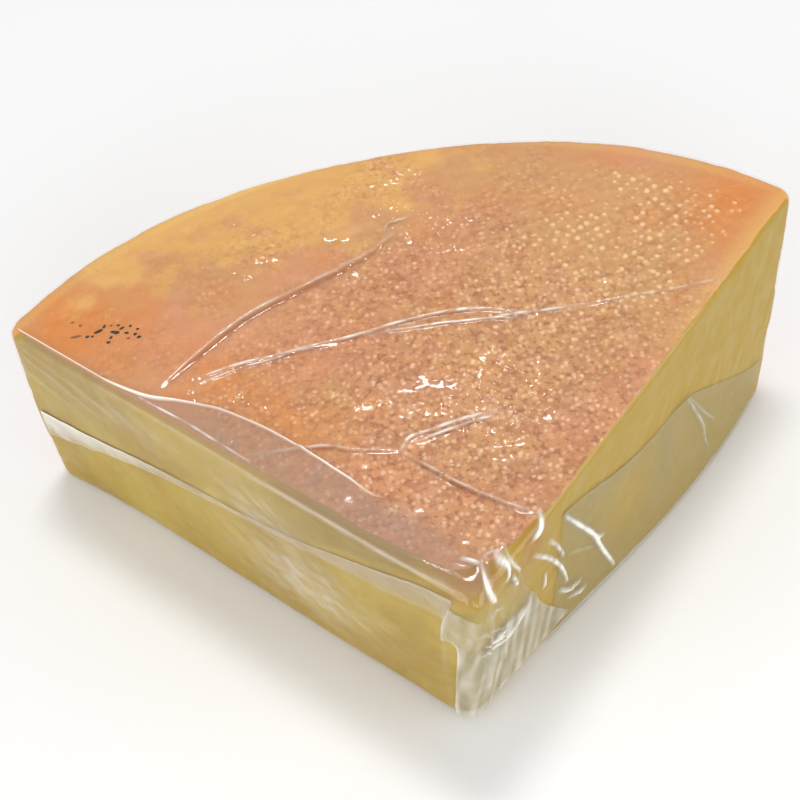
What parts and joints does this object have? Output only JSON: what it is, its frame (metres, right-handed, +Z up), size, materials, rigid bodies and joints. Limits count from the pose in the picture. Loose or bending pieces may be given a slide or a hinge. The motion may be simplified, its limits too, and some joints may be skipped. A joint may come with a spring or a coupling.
{
  "type": "wrapped raclette quarter wheel",
  "caption": "Quarter of a flat round raclette cheese, cut to the centre, with its rind on top and rim, tightly wrapped in clear film.",
  "frame": {"origin": "middle of the part's bounding box, on the surface that the cheese lies on", "axes": "+Z up, normal to the flat side that it lies on; +X to the right across the wedge, along its longest extent; +Y from the pointed tip towards the rim"},
  "size_m": [0.2186, 0.1502, 0.0769],
  "materials": {
    "cheese": null,
    "film": "thin clear stretch film, glossy, creased and layered"
  },
  "bodies": {
    "root": {"wrapped_cheese": "cheese"}
  },
  "joints": []
}
